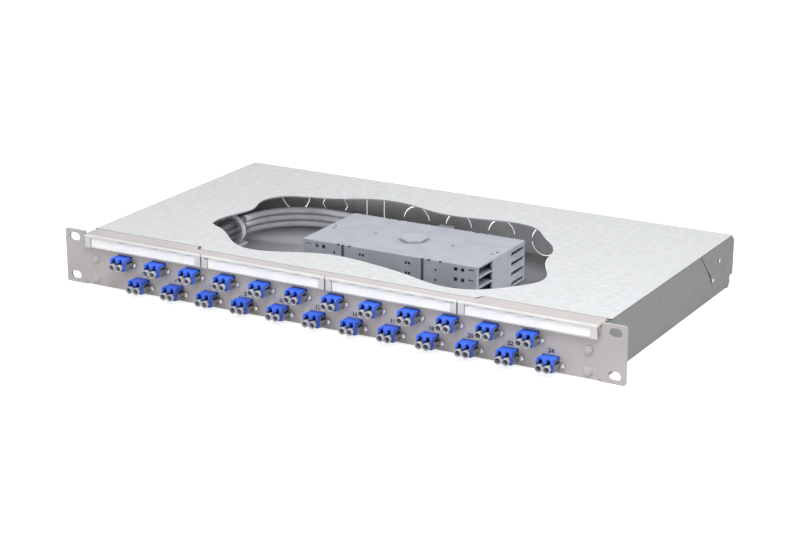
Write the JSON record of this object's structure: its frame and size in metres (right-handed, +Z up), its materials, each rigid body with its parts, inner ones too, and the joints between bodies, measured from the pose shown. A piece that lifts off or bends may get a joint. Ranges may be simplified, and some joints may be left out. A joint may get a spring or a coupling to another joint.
{
  "type": "fibre patch panel",
  "caption": "Rack-mounted fibre patch panel: staggered duplex ports, hinged label flaps, sliding cover and a stack of splice trays in a sheet metal housing.",
  "frame": {"origin": "centre of the four rack slots, on the rear face of the ears where the rack's rails touch it", "axes": "+X along the panel to the viewer's right, +Y from the front plate to the rear, +Z up"},
  "size_m": [0.4826, 0.2646, 0.0436],
  "materials": {
    "plate_paint": "satin light grey powder coat",
    "housing_steel": "galvanised sheet, fine grain",
    "fastener_steel": "zinc plated, semi bright",
    "label_plastic": "satin light grey moulding",
    "label_paper": "plain white card, matt",
    "adaptor_plastic": "satin blue moulding",
    "cap_plastic": "soft translucent grey",
    "tray_plastic": "fine textured light grey moulding",
    "clip_plastic": "satin light grey moulding",
    "tube_plastic": "smooth dark grey tube"
  },
  "bodies": {
    "chassis": {"adaptor_clips": "fastener_steel", "adaptors_1": "adaptor_plastic", "adaptors_2": "adaptor_plastic", "adaptors_3": "adaptor_plastic", "adaptors_4": "adaptor_plastic", "base_tray": "housing_steel", "cassette_lid": "tray_plastic", "fibre_tube_1": "tube_plastic", "fibre_tube_2": "tube_plastic", "fibre_tube_3": "tube_plastic", "front_panel": "plate_paint", "label_lugs": "label_plastic", "panel_screws": "fastener_steel", "rear_plugs": "cap_plastic", "side_rivets": "fastener_steel", "splice_combs": "tray_plastic", "splice_tray_1": "tray_plastic", "splice_tray_2": "tray_plastic", "splice_tray_3": "tray_plastic", "splice_tray_4": "tray_plastic", "stack_nut": "fastener_steel", "stack_stud": "fastener_steel", "tube_anchors": "clip_plastic", "tube_ring": "clip_plastic"},
    "cover": {"cover": "housing_steel", "cover_guides": "housing_steel", "guide_studs": "fastener_steel"},
    "label_flap_1": {"label_frame_1": "label_plastic", "label_card_1": "label_paper"},
    "label_flap_2": {"label_frame_2": "label_plastic", "label_card_2": "label_paper"},
    "label_flap_3": {"label_frame_3": "label_plastic", "label_card_3": "label_paper"},
    "label_flap_4": {"label_frame_4": "label_plastic", "label_card_4": "label_paper"},
    "cap_01": {"dust_cap_01": "cap_plastic"},
    "cap_02": {"dust_cap_02": "cap_plastic"},
    "cap_03": {"dust_cap_03": "cap_plastic"},
    "cap_04": {"dust_cap_04": "cap_plastic"},
    "cap_05": {"dust_cap_05": "cap_plastic"},
    "cap_06": {"dust_cap_06": "cap_plastic"},
    "cap_07": {"dust_cap_07": "cap_plastic"},
    "cap_08": {"dust_cap_08": "cap_plastic"},
    "cap_09": {"dust_cap_09": "cap_plastic"},
    "cap_10": {"dust_cap_10": "cap_plastic"},
    "cap_11": {"dust_cap_11": "cap_plastic"},
    "cap_12": {"dust_cap_12": "cap_plastic"},
    "cap_13": {"dust_cap_13": "cap_plastic"},
    "cap_14": {"dust_cap_14": "cap_plastic"},
    "cap_15": {"dust_cap_15": "cap_plastic"},
    "cap_16": {"dust_cap_16": "cap_plastic"},
    "cap_17": {"dust_cap_17": "cap_plastic"},
    "cap_18": {"dust_cap_18": "cap_plastic"},
    "cap_19": {"dust_cap_19": "cap_plastic"},
    "cap_20": {"dust_cap_20": "cap_plastic"},
    "cap_21": {"dust_cap_21": "cap_plastic"},
    "cap_22": {"dust_cap_22": "cap_plastic"},
    "cap_23": {"dust_cap_23": "cap_plastic"},
    "cap_24": {"dust_cap_24": "cap_plastic"}
  },
  "joints": [
    {"name": "cover_slide", "type": "slide", "parent": "chassis", "child": "cover", "axis": [0, -0.7071, 0.7071], "range_m": [0, 0.04]},
    {"name": "label_1_hinge", "type": "hinge", "parent": "chassis", "child": "label_flap_1", "pos_m": [0, -0.0037, 0.0188], "axis": [-1, 0, 0], "range_deg": [0, 95]},
    {"name": "label_2_hinge", "type": "hinge", "parent": "chassis", "child": "label_flap_2", "pos_m": [0, -0.0037, 0.0188], "axis": [-1, 0, 0], "range_deg": [0, 95]},
    {"name": "label_3_hinge", "type": "hinge", "parent": "chassis", "child": "label_flap_3", "pos_m": [0, -0.0037, 0.0188], "axis": [-1, 0, 0], "range_deg": [0, 95]},
    {"name": "label_4_hinge", "type": "hinge", "parent": "chassis", "child": "label_flap_4", "pos_m": [0, -0.0037, 0.0188], "axis": [-1, 0, 0], "range_deg": [0, 95]},
    {"name": "cap_01_pull", "type": "slide", "parent": "chassis", "child": "cap_01", "axis": [0, -1, 0], "range_m": [0, 0.014]},
    {"name": "cap_02_pull", "type": "slide", "parent": "chassis", "child": "cap_02", "axis": [0, -1, 0], "range_m": [0, 0.014]},
    {"name": "cap_03_pull", "type": "slide", "parent": "chassis", "child": "cap_03", "axis": [0, -1, 0], "range_m": [0, 0.014]},
    {"name": "cap_04_pull", "type": "slide", "parent": "chassis", "child": "cap_04", "axis": [0, -1, 0], "range_m": [0, 0.014]},
    {"name": "cap_05_pull", "type": "slide", "parent": "chassis", "child": "cap_05", "axis": [0, -1, 0], "range_m": [0, 0.014]},
    {"name": "cap_06_pull", "type": "slide", "parent": "chassis", "child": "cap_06", "axis": [0, -1, 0], "range_m": [0, 0.014]},
    {"name": "cap_07_pull", "type": "slide", "parent": "chassis", "child": "cap_07", "axis": [0, -1, 0], "range_m": [0, 0.014]},
    {"name": "cap_08_pull", "type": "slide", "parent": "chassis", "child": "cap_08", "axis": [0, -1, 0], "range_m": [0, 0.014]},
    {"name": "cap_09_pull", "type": "slide", "parent": "chassis", "child": "cap_09", "axis": [0, -1, 0], "range_m": [0, 0.014]},
    {"name": "cap_10_pull", "type": "slide", "parent": "chassis", "child": "cap_10", "axis": [0, -1, 0], "range_m": [0, 0.014]},
    {"name": "cap_11_pull", "type": "slide", "parent": "chassis", "child": "cap_11", "axis": [0, -1, 0], "range_m": [0, 0.014]},
    {"name": "cap_12_pull", "type": "slide", "parent": "chassis", "child": "cap_12", "axis": [0, -1, 0], "range_m": [0, 0.014]},
    {"name": "cap_13_pull", "type": "slide", "parent": "chassis", "child": "cap_13", "axis": [0, -1, 0], "range_m": [0, 0.014]},
    {"name": "cap_14_pull", "type": "slide", "parent": "chassis", "child": "cap_14", "axis": [0, -1, 0], "range_m": [0, 0.014]},
    {"name": "cap_15_pull", "type": "slide", "parent": "chassis", "child": "cap_15", "axis": [0, -1, 0], "range_m": [0, 0.014]},
    {"name": "cap_16_pull", "type": "slide", "parent": "chassis", "child": "cap_16", "axis": [0, -1, 0], "range_m": [0, 0.014]},
    {"name": "cap_17_pull", "type": "slide", "parent": "chassis", "child": "cap_17", "axis": [0, -1, 0], "range_m": [0, 0.014]},
    {"name": "cap_18_pull", "type": "slide", "parent": "chassis", "child": "cap_18", "axis": [0, -1, 0], "range_m": [0, 0.014]},
    {"name": "cap_19_pull", "type": "slide", "parent": "chassis", "child": "cap_19", "axis": [0, -1, 0], "range_m": [0, 0.014]},
    {"name": "cap_20_pull", "type": "slide", "parent": "chassis", "child": "cap_20", "axis": [0, -1, 0], "range_m": [0, 0.014]},
    {"name": "cap_21_pull", "type": "slide", "parent": "chassis", "child": "cap_21", "axis": [0, -1, 0], "range_m": [0, 0.014]},
    {"name": "cap_22_pull", "type": "slide", "parent": "chassis", "child": "cap_22", "axis": [0, -1, 0], "range_m": [0, 0.014]},
    {"name": "cap_23_pull", "type": "slide", "parent": "chassis", "child": "cap_23", "axis": [0, -1, 0], "range_m": [0, 0.014]},
    {"name": "cap_24_pull", "type": "slide", "parent": "chassis", "child": "cap_24", "axis": [0, -1, 0], "range_m": [0, 0.014]}
  ]
}
